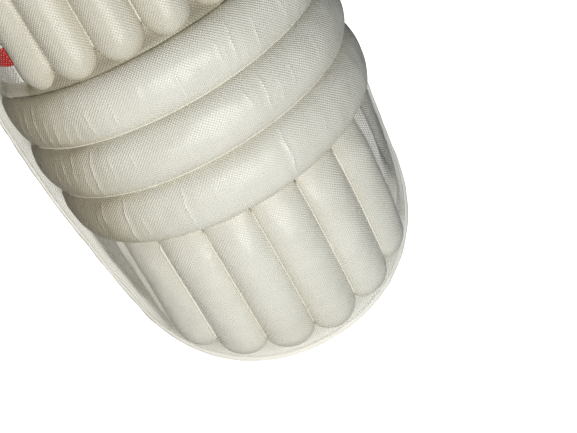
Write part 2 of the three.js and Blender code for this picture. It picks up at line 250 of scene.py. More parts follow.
def store(mesh, name, values):
    kind = "FLOAT_VECTOR" if values.ndim == 2 else "FLOAT"
    layer = mesh.attributes.new(name, kind, "POINT")
    layer.data.foreach_set("vector" if values.ndim == 2 else "value", values.astype(np.float32).ravel())


def fetch(mesh, name, size):
    values = np.empty(len(mesh.vertices) * size, np.float32)
    mesh.attributes[name].data.foreach_get("vector" if size == 3 else "value", values)
    return values.reshape(-1, size) if size > 1 else values


def read_vectors(mesh, source, name):
    values = np.empty(len(mesh.vertices) * 3, np.float32)
    source.foreach_get(name, values)
    return values.reshape(-1, 3).astype(float)


def positions(mesh):
    return read_vectors(mesh, mesh.vertices, "co")


def move_to(mesh, points):
    mesh.vertices.foreach_set("co", points.astype(np.float32).ravel())
    mesh.update()


def normals(mesh):
    return read_vectors(mesh, mesh.vertex_normals, "vector")


def add_object(name, data):
    added = bpy.data.objects.new(name, data)
    bpy.context.scene.collection.objects.link(added)
    return added


def new_mesh(name, points, faces):
    """A mesh from points in metres, its faces turned outwards."""
    mesh = bpy.data.meshes.new(name)
    mesh.from_pydata(points.tolist(), [], faces)
    work = bmesh.new()
    work.from_mesh(mesh)
    bmesh.ops.recalc_face_normals(work, faces=work.faces)
    work.to_mesh(mesh)
    work.free()
    return mesh


def make_piece(name, points, faces, cloth, shade):
    """A mesh object from points in millimetres. Cloth holds weave coordinates, shade holds painted shade and
    a little soil.
    """
    mesh = new_mesh(name, (points + SHIFT) / 1000, faces)
    store(mesh, "cloth", cloth)
    store(mesh, "shade", shade)
    mesh.polygons.foreach_set("use_smooth", [True] * len(mesh.polygons))
    return add_object(name, mesh)


def waves(seed, u, v, size, count=6):
    """Smooth seeded unevenness between about -1 and 1, with bumps of that size in millimetres."""
    source = np.random.default_rng(seed)
    total = np.zeros(np.broadcast(u, v).shape)
    for _ in range(count):
        angle = source.uniform(0, 2 * np.pi)
        pitch = size * source.uniform(0.7, 1.6)
        phase = source.uniform(0, 2 * np.pi)
        total += np.sin((u * np.cos(angle) + v * np.sin(angle)) * 2 * np.pi / pitch + phase)
    return total / math.sqrt(count)


# The scene's own sizes of the rolls, in millimetres, or shares. The shin rolls end more roundly than the
# solids, and the hat's rolls stand 1 mm higher.
SHIN_CANE_KNEE_ROUND = 19.0
HAT_CANE_RISE = 12.0
HAT_CANE_START_SHARE = 0.62
HAT_CANE_START_REACH = 34.0
KNEE_TAB_SIDE_FALL = 0.55
OUTER_CANE_INSET = 4.5
OUTER_CANE_SHARE = 0.82
TOUCH_GAP = 0.1
KNEE_FILL_RISE = 6.5
KNEE_VALLEY = 8.5
SHIN_CANE_VALLEY = 4.0
HAT_CANE_VALLEY = 2.8
HAT_OUTER_VALLEY = 0.9
VALLEY_SHARE_MOST = 0.44
KNEE_SHOULDER = 1.3
CANE_SHOULDER = 1.5
PLUMPNESS = 0.92

# Rolls are rings round a stuffed tube. The top of a ring is free cloth, its underside lies on the shell.
# Points hold their share of the roll's width, -1 to 1 on the top and UNDERSIDE_SHARE below.
UNDERSIDE_POINTS = 2
UNDERSIDE_SHARE = 2.0
END_POWER = 2.3
END_FIRST_ANGLE = 0.06
KNEE_CORNERS = 24
CANE_CORNERS = 14
KNEE_RING_STEP = 1.4
SHIN_RING_STEP = 3.2
HAT_RING_STEP = 2.4


def ring_places(start, end, start_round, end_round, step):
    """Places along a roll and how full the roll is there, closer together where its ends round off."""
    angles = np.linspace(END_FIRST_ANGLE, np.pi / 2, 9)
    turns = [(1 - math.cos(angle), math.sin(angle) ** (2 / END_POWER)) for angle in angles]
    places = [(start, 1.0)]
    if start_round > 0:
        places = [(start + start_round * back, fullness) for back, fullness in turns]
    span = end - end_round - start - start_round
    count = max(2, round(span / step))
    places += [(start + start_round + span * i / count, 1.0) for i in range(1, count)]
    return places + [(end - end_round * back, fullness) for back, fullness in turns[::-1]]


def roll_mesh(name, places, low_at, high_at, rise_at, valley, corners, shoulder, point):
    """Points, faces and weave coordinates of a roll, and which points the cloth simulation may move.

    Valley is the heights in millimetres at which its low and high sides are sewn to the neighbours."""
    rings, cloth, free, along = [], [], [], []
    angle = np.linspace(0, np.pi, corners + 1)
    width = -np.cos(angle)
    around = np.concatenate([width, np.linspace(1, -1, UNDERSIDE_POINTS)])
    share = np.concatenate([width, np.full(UNDERSIDE_POINTS, UNDERSIDE_SHARE)])
    travelled = 0.0
    for number, (place, fullness) in enumerate(places):
        low, high = low_at(place), high_at(place)
        middle, half = (low + high) / 2, (high - low) / 2 * fullness
        low_base, high_base = (min(side, VALLEY_SHARE_MOST * rise_at(place)) for side in valley)
        base = low_base + (high_base - low_base) * (width + 1) / 2
        bulge = (rise_at(place) - base) * PLUMPNESS * np.abs(np.sin(angle)) ** shoulder
        outs = np.concatenate([SEAT_GAP + fullness * (base + bulge), np.full(UNDERSIDE_POINTS, SEAT_GAP)])
        ring = point(place, middle + half * around, outs)
        if rings:
            travelled += float(np.linalg.norm(ring[corners // 2] - rings[-1][corners // 2]))
        girth = lengths_along(ring[: corners + 1])
        girth = np.concatenate([girth - girth[-1] / 2, np.zeros(UNDERSIDE_POINTS)])
        loose = np.zeros(len(ring), bool)
        loose[1:corners] = 0 < number < len(places) - 1
        rings.append(ring)
        cloth.append(np.stack([np.full(len(ring), travelled), girth, share], -1))
        free.append(loose)
        along.append(np.full(len(ring), float(place)))
    return {
        "name": name,
        "points": np.concatenate(rings),
        "faces": tube_faces(len(rings), len(share)),
        "cloth": np.concatenate(cloth),
        "free": np.concatenate(free),
        "along": np.concatenate(along),
        "ring_size": len(share),
    }


def hat_bow(across):
    return KNEE_ROLL_HAT_BOW * (across / ARCH_GIRTH) ** 2


def knee_roll_start(index):
    return KNEE_START + sum(width for width, rise in KNEE_ROLL_SHARES[:index]) * KNEE_ROLL_WIDTH


def knee_roll_reach(along):
    return float(side_at(along)) - KNEE_ROLL_END_MARGIN


def knee_fall(across, reach):
    """Share of its height that a knee roll loses towards its ends."""
    return np.where(across > 0, KNEE_TAB_SIDE_FALL, KNEE_ROLL_SIDE_FALL) * (across / reach) ** 2


def cane_fall(place):
    return 1 - CANE_SIDE_FALL * (2 * place / (SHIN_CANE_COUNT - 1)) ** 2


def shin_cane_width(along):
    return SHIN_CANE_WIDTH * (1 - SHIN_CANE_TAPER * (1 - along / SHIN_LENGTH))


def shin_start(place):
    """Along of the foot end of a shin roll or seam, so many roll widths from the front line."""
    return float(foot_edge(abs(place * SHIN_CANE_WIDTH) / half_girth(0.0))) + CANE_FOOT_MARGIN


def knee_roll(index):
    start = knee_roll_start(index)
    width = KNEE_ROLL_SHARES[index][0] * KNEE_ROLL_WIDTH
    rise = KNEE_ROLL_SHARES[index][1] * KNEE_ROLL_RISE
    reach = knee_roll_reach(start + width / 2)
    bowed = index == len(KNEE_ROLL_SHARES) - 1
    return roll_mesh(
        f"knee_roll_{index + 1}_cloth",
        ring_places(-reach, reach, KNEE_ROLL_END_ROUND, KNEE_ROLL_END_ROUND, KNEE_RING_STEP),
        lambda at: start + TOUCH_GAP / 2,
        lambda at: start + width - TOUCH_GAP / 2 - (hat_bow(at) if bowed else 0),
        lambda at: rise * (1 - knee_fall(at, reach)),
        (KNEE_VALLEY if index else KNEE_FILL_RISE, KNEE_VALLEY),
        KNEE_CORNERS,
        KNEE_SHOULDER,
        surface,
    )


def shin_cane(index):
    place = index - (SHIN_CANE_COUNT - 1) / 2
    end = KNEE_START - SEAM_GAP / 2
    low_inset = OUTER_CANE_INSET if index == 0 else TOUCH_GAP / 2
    high_inset = OUTER_CANE_INSET if index == SHIN_CANE_COUNT - 1 else TOUCH_GAP / 2
    share = OUTER_CANE_SHARE if index in (0, SHIN_CANE_COUNT - 1) else 1
    return roll_mesh(
        f"shin_roll_{index + 1}_cloth",
        ring_places(shin_start(place), end, SHIN_CANE_FOOT_ROUND, SHIN_CANE_KNEE_ROUND, SHIN_RING_STEP),
        lambda at: (place - 0.5) * shin_cane_width(at) + low_inset,
        lambda at: (place + 0.5) * shin_cane_width(at) - high_inset,
        lambda at: SHIN_CANE_RISE * cane_fall(place) * share,
        (SHIN_CANE_VALLEY, SHIN_CANE_VALLEY),
        CANE_CORNERS,
        CANE_SHOULDER,
        lambda at, across, out: surface(across, at, out),
    )


def hat_cane(index):
    place = index - (HAT_CANE_COUNT - 1) / 2 + HAT_CANE_SHIFT
    side = 1 if place >= 0 else -1
    middle = abs(place) * HAT_CANE_WIDTH
    inner = (abs(place) - 0.5) * HAT_CANE_WIDTH + TOUCH_GAP / 2
    outer = (abs(place) + 0.5) * HAT_CANE_WIDTH - TOUCH_GAP / 2
    start = HAT_START - hat_bow(middle) + TOUCH_GAP
    arch_share = (middle + HAT_CANE_MARGIN - side * HAT_LEAN) / ARCH_GIRTH
    end = ARCH_START + ARCH_HEIGHT * arch_fullness(arch_share) - HAT_CANE_MARGIN

    def cut_at(at):
        room = float(arch_side(at)) + side * float(lean_at(at)) - HAT_CANE_MARGIN
        return outer if place == 0 else min(outer, max(room, inner + HAT_CANE_LEAST_WIDTH))

    def rise_at(at):
        grown = float(smoothstep(at, start, start + HAT_CANE_START_REACH))
        return HAT_CANE_RISE * cane_fall(place) * (HAT_CANE_START_SHARE + (1 - HAT_CANE_START_SHARE) * grown)

    low_valley = HAT_OUTER_VALLEY if index == 0 else HAT_CANE_VALLEY
    high_valley = HAT_OUTER_VALLEY if index == HAT_CANE_COUNT - 1 else HAT_CANE_VALLEY
    return roll_mesh(
        f"hat_roll_{index + 1}_cloth",
        ring_places(start, end, 0, HAT_CANE_TIP_ROUND, HAT_RING_STEP),
        lambda at: inner if side > 0 else -cut_at(at),
        lambda at: cut_at(at) if side > 0 else -inner,
        rise_at,
        (low_valley, high_valley),
        CANE_CORNERS,
        CANE_SHOULDER,
        lambda at, across, out: surface(across - lean_at(at), at, out),
    )


rolls = [knee_roll(i) for i in range(len(KNEE_ROLL_SHARES))]
rolls += [shin_cane(i) for i in range(SHIN_CANE_COUNT)]
rolls += [hat_cane(i) for i in range(HAT_CANE_COUNT)]

# One cloth simulation swells all the rolls together. Their borders and undersides stay where they are sewn.
CLOTH_PRESSURE = 4.0
CLOTH_FRAMES = 20
CLOTH_BENDING = 12.0
SWELL_CAP = 0.0028
EVEN_REACH = 7.0
EVEN_RINGS = 15
WRINKLE_SHARE = 0.12


def evened(moved, roll):
    """The swelling evened out along and round a roll, as a thick coated cloth doesn't wrinkle finely."""
    grid = moved.reshape(-1, roll["ring_size"], 3)
    weights = np.exp(-((np.arange(-EVEN_RINGS, EVEN_RINGS + 1) / EVEN_REACH) ** 2))
    weights /= weights.sum()
    padded = np.concatenate([np.repeat(grid[:1], EVEN_RINGS, 0), grid, np.repeat(grid[-1:], EVEN_RINGS, 0)])
    smooth = sum(weight * padded[i : i + len(grid)] for i, weight in enumerate(weights))
    across = 0.5 * smooth + 0.25 * (np.roll(smooth, 1, axis=1) + np.roll(smooth, -1, axis=1))
    smooth = np.where(roll["free"].reshape(grid.shape[:2])[:, :, None], across, 0)
    return ((1 - WRINKLE_SHARE) * smooth + WRINKLE_SHARE * grid).reshape(-1, 3)


def swell(rolls):
    """Runs the simulation on one mesh of all the rolls, and moves their points by its evened result."""
    starts = np.cumsum([0] + [len(roll["points"]) for roll in rolls])
    points = (np.concatenate([roll["points"] for roll in rolls]) + SHIFT) / 1000
    faces = []
    for roll, start in zip(rolls, starts):
        faces += [[index + int(start) for index in face] for face in roll["faces"]]
    mesh = new_mesh("swelling", points, faces)
    piece = add_object("swelling", mesh)
    free = np.concatenate([roll["free"] for roll in rolls])
    group = piece.vertex_groups.new(name="sewn")
    group.add(np.flatnonzero(~free).tolist(), 1.0, "REPLACE")
    modifier = piece.modifiers.new("cloth", "CLOTH")
    settings = modifier.settings
    settings.quality = 4
    settings.mass = 0.3
    settings.use_pressure = True
    settings.uniform_pressure_force = CLOTH_PRESSURE
    settings.bending_stiffness = CLOTH_BENDING
    settings.vertex_group_mass = "sewn"
    settings.effector_weights.gravity = 0
    modifier.collision_settings.use_collision = False
    modifier.point_cache.frame_start = 1
    modifier.point_cache.frame_end = CLOTH_FRAMES
    scene = bpy.context.scene
    for number in range(1, CLOTH_FRAMES + 1):
        scene.frame_set(number)
    shown = piece.evaluated_get(bpy.context.evaluated_depsgraph_get())
    moved = positions(shown.to_mesh()) - points
    shown.to_mesh_clear()
    scene.frame_set(1)
    bpy.data.objects.remove(piece)
    bpy.data.meshes.remove(mesh)
    length = np.linalg.norm(moved, axis=1, keepdims=True)
    moved *= SWELL_CAP * np.tanh(length / SWELL_CAP) / np.maximum(length, 1e-9)
    for roll, start in zip(rolls, starts):
        roll["points"] = roll["points"] + 1000 * evened(moved[start : start + len(roll["points"])], roll)


swell(rolls)

# Creases run round a knee roll. Each row: roll, across in mm, first and last share of the roll's width,
# drift in mm from first to last, height in mm.
CREASES = [
    (0, 128, -0.5, 0.8, 8, 0.35),
    (0, 119, -0.7, 0.9, 11, 0.55),
    (0, 110, -0.85, 0.92, 9, 0.7),
    (0, 103, -0.3, 0.9, 10, 0.5),
    (0, 97, -0.1, 0.93, 9, 0.65),
    (0, 89, 0.0, 0.85, 8, 0.45),
    (0, 82, 0.05, 0.75, 6, 0.55),
    (0, 71, -0.35, 0.6, 3, 0.5),
    (0, 55, -0.3, 0.6, 2, 0.5),
    (0, 36, -0.5, 0.1, 2, 0.3),
    (0, 14, -0.3, 0.9, 2, 0.6),
    (0, -12, -0.4, 0.4, 0, 0.4),
    (0, -23, -0.65, 0.6, 4, 0.65),
    (0, -38, -0.4, 0.7, 2, 0.55),
    (0, -60, -0.2, 0.5, -2, 0.35),
    (0, -78, -0.5, 0.4, 2, 0.3),
    (1, 122, -0.6, 0.3, 4, 0.45),
    (1, 113, -0.85, 0.2, 3, 0.6),
    (1, 103, -0.95, 0.1, 4, 0.6),
    (1, 95, -0.5, 0.85, 7, 0.4),
    (1, 86, -0.95, 0.9, 9, 0.8),
    (1, 74, -0.7, 0.3, 4, 0.4),
    (1, 60, -0.5, 0.2, 2, 0.35),
    (1, 30, 0.1, 0.6, -2, 0.35),
    (1, -12, -0.6, 0.0, -2, 0.45),
    (1, -25, -0.7, 0.5, 2, 0.65),
    (1, -34, -0.2, 0.5, 2, 0.4),
    (1, -45, -0.4, 0.3, 2, 0.4),
    (1, -70, -0.5, 0.2, 2, 0.3),
    (2, 112, -0.6, 0.4, 3, 0.5),
    (2, 105, -0.9, -0.1, 2, 0.55),
    (2, 86, -0.95, 0.8, 6, 0.9),
    (2, 78, -0.2, 0.6, 3, 0.5),
    (2, 46, -0.8, 0.6, 4, 0.7),
    (2, 12, -0.3, 0.2, 2, 0.3),
    (2, -21, -0.85, 0.8, 3, 0.9),
    (2, -50, -0.2, 0.3, 2, 0.3),
]

# Heights of a ridge's parts as shares, with their middles and widths in millimetres.
CREASE_PARTS = [(0.5, 0, 1.2), (-0.2, 2.4, 1.8), (-0.2, -2.8, 2)]

# Heights and sizes in millimetres of the bumps on a roll, and of the small puckers along its seams.
BROAD_BUMPS = (0.35, 60)
FINE_BUMPS = (0.12, 17)
PUCKER_RISE = 0.2
PUCKER_PITCHES = (6.5, 9)
TOP_SHARE_MOST = 1.5

# Painted shade lies along the seams and ends, and towards the tab's side on the knee rolls, where their ends
# turn away from the light. The shin rolls are darker all over.
SEAM_PAINTED_SHADE = 0.75
END_PAINTED_SHADE = 0.5
END_SHADE_REACH = 22
SIDE_PAINTED_SHADE = 1.7
SIDE_SHADE_PLACES = (55, 125)
SHIN_DARKENING = 0.65
DARKENING_MOST = 1.6


def subdivide(piece):
    modifier = piece.modifiers.new("smooth", "SUBSURF")
    modifier.levels = 1
    modifier.render_levels = 1
    shown = piece.evaluated_get(bpy.context.evaluated_depsgraph_get())
    mesh = bpy.data.meshes.new_from_object(shown)
    old = piece.data
    piece.modifiers.clear()
    piece.data = mesh
    bpy.data.meshes.remove(old)


def crease_relief(across, share, roll_index):
    """Ridges where a coated cloth has been bent: height in millimetres, and each point's distance from the
    nearest ridge with the ridge's strength there, from which the material draws its fine line."""
    total = np.zeros(len(across))
    nearest = np.full(len(across), 50.0)
    strength = np.zeros(len(across))
    for roll, place, first, last, drift, height in CREASES:
        if roll != roll_index:
            continue
        run = (share - first) / (last - first)
        wander = 0.35 * np.sin(share * 6 + place) + 0.2 * np.sin(share * 15 + 2 * place)
        offset = across - (place + drift * run + wander)
        fade = smoothstep(run, -0.12, 0.2) * (1 - smoothstep(run, 0.8, 1.12))
        fade = fade * (0.75 + 0.25 * np.sin(share * 11 + place))
        total += height * fade * sum(part * hump(offset, *form) for part, *form in CREASE_PARTS)
        closer = (np.abs(offset) < np.abs(nearest)) & (run > -0.15) & (run < 1.15)
        nearest = np.where(closer, offset, nearest)
        strength = np.where(closer, height * fade, strength)
    return total, np.stack([nearest, strength, np.zeros(len(across))], -1)


def stuffing_relief(seed, length, girth, reach):
    """Bumps of the stuffing, and small puckers that run from each seam into the cloth, in millimetres.

    Reach is 0 on the middle of the roll and 1 on its seams."""
    rise, size = BROAD_BUMPS
    relief = rise * waves(seed, length, girth * 1.4, size)
    rise, size = FINE_BUMPS
    relief += rise * waves(seed + 50, length, girth, size)
    pitch = np.random.default_rng(seed + 90).uniform(*PUCKER_PITCHES)
    ripple = np.sin(length * 2 * np.pi / pitch + 1.5 * np.sin(length / 19) + seed)
    ripple *= 0.6 + 0.4 * np.sin(length / 11 + seed)
    return relief + PUCKER_RISE * ripple * reach**5 * (1 - reach**14)


def finish_roll(roll, seed, roll_index=None):
    """A roll's piece, with creases where it has the index of a knee roll."""
    shade = np.zeros(len(roll["points"]))
    piece = make_piece(roll["name"], roll["points"], roll["faces"], roll["cloth"], shade)
    store(piece.data, "along", roll["along"])
    subdivide(piece)
    mesh = piece.data
    length, girth, share = fetch(mesh, "cloth", 3).astype(float).T
    place = fetch(mesh, "along", 1).astype(float)
    top = share < TOP_SHARE_MOST
    reach = np.clip(np.abs(share), 0, 1)
    free = np.where(top, 1 - reach**6, 0)
    relief = stuffing_relief(seed, length, girth, reach)
    end = np.clip(1 - np.minimum(length, length.max() - length) / END_SHADE_REACH, 0, 1)
    # Painted shade: darker along the seams and at the roll's ends.
    darkening = SEAM_PAINTED_SHADE * np.where(top, reach**5, 0) + END_PAINTED_SHADE * end
    if roll_index is not None:
        ridges, crease = crease_relief(place, share, roll_index)
        crease[:, 1] *= free
        store(mesh, "crease", crease)
        relief += ridges
        # Painted shade towards the tab's side of the knee rolls, where their ends turn away from the light.
        darkening += SIDE_PAINTED_SHADE * smoothstep(place, *SIDE_SHADE_PLACES)
    # The shin rolls are darker all over.
    if roll["name"].startswith("shin"):
        darkening += SHIN_DARKENING
    move_to(mesh, positions(mesh) + normals(mesh) * (relief * free / 1000)[:, None])
    mesh.attributes["shade"].data.foreach_set("value", np.clip(darkening, 0, DARKENING_MOST).astype(np.float32))
    return piece


pieces = {}
for number, roll in enumerate(rolls):
    knee = number if number < len(KNEE_ROLL_SHARES) else None
    pieces[roll["name"]] = finish_roll(roll, 11 + number, knee)

# The facing is the shell's outer cloth and its back, as one closed wall. Its columns are close together on
# the wings, and its rows where the hat's edge is.
WING_COLUMN_START = 0.42
MIDDLE_COLUMNS = 16
WING_COLUMNS = 92
FACING_ROWS = 215
RIM_ROWS = 14
RIM_ROW_START = 0.962

# Its low relief, in millimetres. A pair is where a form begins and where it is full, or a hump's middle and
# width. A key of 1 is the tab's side, and -1 the other side.
WING_RIM_RISE = 4.8
WING_RIM_WIDTH = 5.0
HAT_SIDE_SLIMMING = 0.35
HAT_SIDE_SLIMS = (-20, 50)
HAT_RIM_RISE = 2.2
HAT_RIM_WIDTH = 8.0
RIM_DIP_DEPTH = 2.6
RIM_DIP_PLACE = 11.0
RIM_DIP_WIDTH = 6.5
KNEE_FILL_LENGTH = 22.0
KNEE_FILL_END_LENGTH = 8.0
KNEE_FILL_ENDS = (138, 168)
KNEE_FILL_BACK = (1, 5)
BESIDE_CANES = (104, 115)
HAT_STRIP_BEGINS = (-14, 4)
HAT_STRIP_ENDS = (-60, -25)
STRIP_BORDER = (3, 12)
LIPS = {-1: (6.4, 8.5, 6.3), 1: (2.8, 6.5, 4.8)}
LIP_FOOT = (-3, 0)
VALLEY_DEPTHS = {-1: 0.64, 1: 1.6}
VALLEY = (24, 9)
SHIN_STRIP_BEGINS = (30, 60)
SHIN_STRIP_ENDS = (-30, -8)
SHIN_LIP_RISE = 2.2
SHIN_LIP = (5, 4.5)
SHIN_VALLEY_DEPTH = 1.2
SHIN_VALLEY = (18, 9)


def hat_seam(side):
    """Distance from the front line to the outermost upright seam on the hat."""
    return (HAT_CANE_COUNT / 2 + side * HAT_CANE_SHIFT) * HAT_CANE_WIDTH


def beyond_hat_seam(side, across, along):
    return side * (across + lean_at(along)) - hat_seam(side)


def wing_share(across):
    """0 on the front, 1 on the wings."""
    return smoothstep(np.abs(across), hat_seam(np.sign(across)), KNEE_RADIUS * WING_ANGLE)


def rim_relief(across, along, distance):
    """The padded rim along the edge, turned outwards on the wings with a dip inside it, low on the hat."""
    on_wing = wing_share(across)
    slim = 1 - HAT_SIDE_SLIMMING * smoothstep(along - HAT_START, *HAT_SIDE_SLIMS)
    turned = WING_RIM_RISE * hump(distance, 0, WING_RIM_WIDTH * slim)
    turned -= RIM_DIP_DEPTH * hump(distance, RIM_DIP_PLACE * slim, RIM_DIP_WIDTH * slim)
    return on_wing * slim * turned + (1 - on_wing) * HAT_RIM_RISE * hump(distance, 0, HAT_RIM_WIDTH)


def facing_parameters():
    wing = np.linspace(WING_COLUMN_START, 1, WING_COLUMNS)
    middle = np.linspace(-WING_COLUMN_START, WING_COLUMN_START, MIDDLE_COLUMNS + 1)[1:-1]
    rows = np.concatenate(
        [np.linspace(0, RIM_ROW_START, FACING_ROWS), np.linspace(RIM_ROW_START, 1, RIM_ROWS)[1:]]
    )
    return np.concatenate([-wing[::-1], middle, wing]), rows




def border_parameters(step_count):
    """Columns and rows round the shell's border, from the foot's left corner anticlockwise."""
    side = np.linspace(0, 1, step_count)
    foot = np.linspace(-1, 1, step_count)
    column = np.concatenate([foot, np.ones(step_count - 1), foot[::-1][1:], -np.ones(step_count - 2)])
    row = np.concatenate([np.zeros(step_count), side[1:], np.ones(step_count - 1), side[::-1][1:-1]])
    return column, row


outline = np.stack(grid_place(*border_parameters(90)), -1)


def edge_distance(across, along):
    points = np.stack([across.ravel(), along.ravel()], -1)
    best = np.full(len(points), 1e9)
    for start, end in zip(outline, np.roll(outline, -1, axis=0)):
        way = end - start
        share = np.clip(((points - start) @ way) / max(way @ way, 1e-9), 0, 1)
        best = np.minimum(best, np.linalg.norm(points - start - share[:, None] * way, axis=1))
    return best.reshape(across.shape)


def facing_out(across, along, distance):
    """How far the facing stands off the plain shell: rim, ramp to the first knee roll, lips and valleys."""
    reach = np.abs(across)
    beside_canes = smoothstep(reach, *BESIDE_CANES)
    length = KNEE_FILL_LENGTH + (KNEE_FILL_END_LENGTH - KNEE_FILL_LENGTH) * beside_canes
    fill = np.clip((along - KNEE_START + length) / length, 0, 1) * (1 - smoothstep(reach, *KNEE_FILL_ENDS))
    fill = fill * (1 - smoothstep(along - KNEE_START, *KNEE_FILL_BACK))
    on_hat = smoothstep(along - HAT_START, *HAT_STRIP_BEGINS) * smoothstep(distance, *STRIP_BORDER)
    on_hat = on_hat * (1 - smoothstep(along - TIP, *HAT_STRIP_ENDS))
    on_shin = smoothstep(along, *SHIN_STRIP_BEGINS) * (1 - smoothstep(along - KNEE_START, *SHIN_STRIP_ENDS))
    out = rim_relief(across, along, distance) + KNEE_FILL_RISE * fill
    for side, (rise, middle, width) in LIPS.items():
        beyond = beyond_hat_seam(side, across, along)
        out += rise * on_hat * hump(beyond, middle, width) * smoothstep(beyond, *LIP_FOOT)
        out -= VALLEY_DEPTHS[side] * on_hat * hump(beyond, *VALLEY)
        past = side * across - SHIN_CANE_COUNT / 2 * shin_cane_width(along)
        out += SHIN_LIP_RISE * on_shin * hump(past, *SHIN_LIP) * smoothstep(past, *LIP_FOOT)
        out -= SHIN_VALLEY_DEPTH * on_shin * hump(past, *SHIN_VALLEY)
    return out


# Long folds in the bare facing beside the hat's rolls. Each row: side, distance beyond the outermost seam
# in mm, how much that grows along the fold, first and last distance past the hat's start, height in mm.
FOLDS = [
    (1, 9.5, 3.0, -8, 88, 1.5),
    (1, 14.0, 7.0, 4, 104, 1.3),
    (1, 19.0, 10.0, 22, 96, 0.7),
    (-1, 11.0, 2.0, 8, 96, 1.0),
    (-1, 17.0, 5.0, 30, 112, 0.6),
]
FOLD_PARTS = [(1, 0, 1.9), (-0.6, 3.6, 2.2)]


def fold_out(across, along):
    total = np.zeros(across.shape)
    for side, beyond, growth, first, last, height in FOLDS:
        run = (along - HAT_START - first) / (last - first)
        wander = 0.9 * np.sin(run * 7 + beyond)
        offset = beyond_hat_seam(side, across, along) - (beyond + growth * run + wander)
        fade = smoothstep(run, -0.05, 0.25) * (1 - smoothstep(run, 0.7, 1.05))
        total += height * fade * sum(part * hump(offset, *form) for part, *form in FOLD_PARTS)
    return total


# Unevenness of the facing and its back. Each row: seed, height and size in mm.
FACING_BUMPS = [(5, 0.4, 55), (6, 0.12, 16)]
BACK_BUMPS = [(8, 0.3, 48)]
BUMPS_BORDER = (2, 9)

# The back has shallow sewn channels, one for each upright roll.
CHANNEL_DEPTH = 1.3
CHANNEL_BORDER = (10, 24)


def uneven(rows, across, along, distance):
    relief = sum(rise * waves(seed, across, along, size) for seed, rise, size in rows)
    return relief * smoothstep(distance, *BUMPS_BORDER)


def back_out(across, along, distance):
    """How far the back lies off the plain shell's outer face, which is below it."""
    wall = EDGE_WALL + (SHELL_WALL - EDGE_WALL) * np.minimum(1, distance / EDGE_WALL_WIDTH)
    channel = 1 - np.abs(np.sin(np.pi * (across / SHIN_CANE_WIDTH + 0.5))) ** 0.5
    channel = CHANNEL_DEPTH * channel * smoothstep(distance, *CHANNEL_BORDER)
    return rim_relief(across, along, distance) - wall + channel + uneven(BACK_BUMPS, across, along, distance)


# Painted shade, a little soil and painted light of the facing, as shares.
SOIL_LEAST = 0.15
BACK_DARKENING = 0.2
WING_PAINTED_SHADE = {-1: 0.24, 1: 0.8}
WING_SHADE_PLACE = (24, 8)
TIP_PAINTED_SHADE = 2.1
TIP_SHADE_PLACE = (-5, 11)
TIP_SHADE_SIDES = (104, 125)
TIP_SHADE_SIDE_LOSS = 0.6
WING_PAINTED_LIGHT = 0.9
WING_LIGHT_BORDER = (3, 26)
HAT_PAINTED_LIGHT = 0.4
HAT_LIGHT_BORDER = (2, 9)
LIP_PAINTED_LIGHT = {-1: 0.7, 1: 0.0}
LIP_LIGHT_PLACE = (5, 4)
LIP_LIGHT_BEGINS = (0, 15)


def facing_soil_and_shade(across, along, distance):
    """A little soil all over, painted shade in the dips inside the wings' rims, and the most painted shade
    between the shin rolls' tips and the knee, where the tips shade the first knee roll.
    """
    on_wing = np.where(across < 0, WING_PAINTED_SHADE[-1], WING_PAINTED_SHADE[1]) * wing_share(across)
    at_tips = 1 - TIP_SHADE_SIDE_LOSS * smoothstep(np.abs(across), *TIP_SHADE_SIDES)
    at_tips = TIP_PAINTED_SHADE * at_tips * hump(along - KNEE_START, *TIP_SHADE_PLACE)
    return SOIL_LEAST + on_wing * hump(distance, *WING_SHADE_PLACE) + at_tips


def facing_painted_light(across, along, distance):
    """Painted light: the rim is painted lighter, as if it faced the light, and so is the lip on the side
    away from the tab.
    """
    on_wing = wing_share(across)
    painted_light = WING_PAINTED_LIGHT * on_wing * (1 - smoothstep(distance, *WING_LIGHT_BORDER))
    painted_light += HAT_PAINTED_LIGHT * (1 - on_wing) * (1 - smoothstep(distance, *HAT_LIGHT_BORDER))
    for side, share in LIP_PAINTED_LIGHT.items():
        lip = hump(beyond_hat_seam(side, across, along), *LIP_LIGHT_PLACE)
        painted_light += share * lip * smoothstep(along - HAT_START, *LIP_LIGHT_BEGINS)
    return np.clip(painted_light, 0, 1)


columns, rows = facing_parameters()
row_count, column_count = len(rows), len(columns)
facing_across, facing_along = grid_place(*np.meshgrid(columns, rows))
facing_grid = (facing_across, facing_along, edge_distance(facing_across, facing_along))
facing_relief = facing_out(*facing_grid) + fold_out(facing_across, facing_along)
facing_relief += uneven(FACING_BUMPS, *facing_grid)
face_outer = surface(facing_across, facing_along, facing_relief)
face_inner = surface(facing_across, facing_along, back_out(*facing_grid))
facing_weave = np.stack([facing_along, facing_across, facing_grid[2]], -1).reshape(-1, 3)
soil_and_shade = facing_soil_and_shade(*facing_grid).ravel()
pieces["facing_cloth"] = make_piece(
    "facing_cloth",
    np.concatenate([face_outer.reshape(-1, 3), face_inner.reshape(-1, 3)]),
    wall_faces(row_count, column_count),
    np.tile(facing_weave, (2, 1)),
    # The back is a little darker than the front.
    np.concatenate([soil_and_shade, soil_and_shade + BACK_DARKENING]),
)
store(pieces["facing_cloth"].data, "painted_light", np.tile(facing_painted_light(*facing_grid).ravel(), 2))


